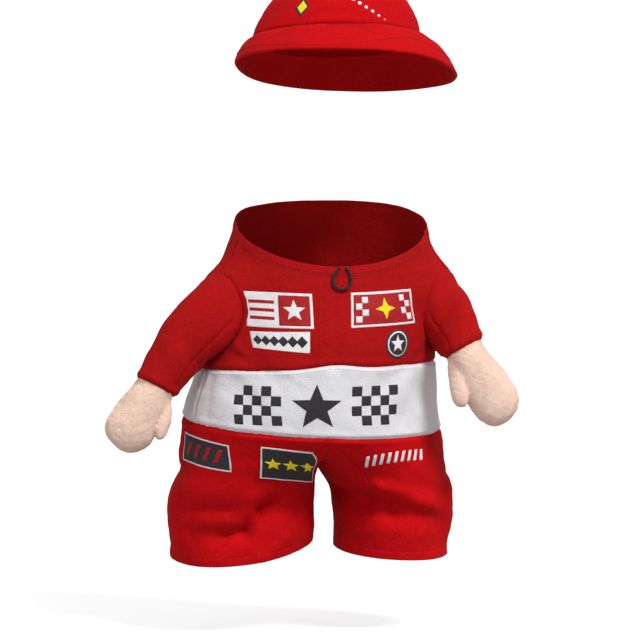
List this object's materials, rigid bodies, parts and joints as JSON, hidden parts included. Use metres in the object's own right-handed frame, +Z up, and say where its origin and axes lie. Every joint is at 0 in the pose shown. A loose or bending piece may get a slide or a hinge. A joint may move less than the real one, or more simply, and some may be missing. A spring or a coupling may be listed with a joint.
{
  "type": "dog costume",
  "caption": "Small dog's costume: a hollow red jumpsuit with a white waistband and stuffed arms with mitten hands, and a red brimmed cap, shaped as worn.",
  "frame": {"origin": "centre of the jumpsuit's neck opening, where the wearer's neck holds it", "axes": "+Z up through the neck to the cap, -Y out of the chest, +X to the wearer's left"},
  "size_m": [0.2658, 0.1578, 0.3854],
  "materials": {
    "red_cloth": "matte napped knit",
    "white_cloth": "matte napped knit",
    "hand_cloth": "short soft fleece",
    "black_cord": "twisted cord"
  },
  "bodies": {
    "root": {"chest": "red_cloth", "back": "red_cloth", "trouser_right": "red_cloth", "trouser_left": "red_cloth", "sleeve_right": "red_cloth", "sleeve_left": "red_cloth", "cap_front": "red_cloth", "cap_back": "red_cloth", "cap_top": "red_cloth", "brim_front": "red_cloth", "brim_back": "red_cloth", "waistband_front": "white_cloth", "waistband_back": "white_cloth", "hand_right": "hand_cloth", "hand_left": "hand_cloth", "neck_loop": "black_cord"}
  },
  "joints": []
}
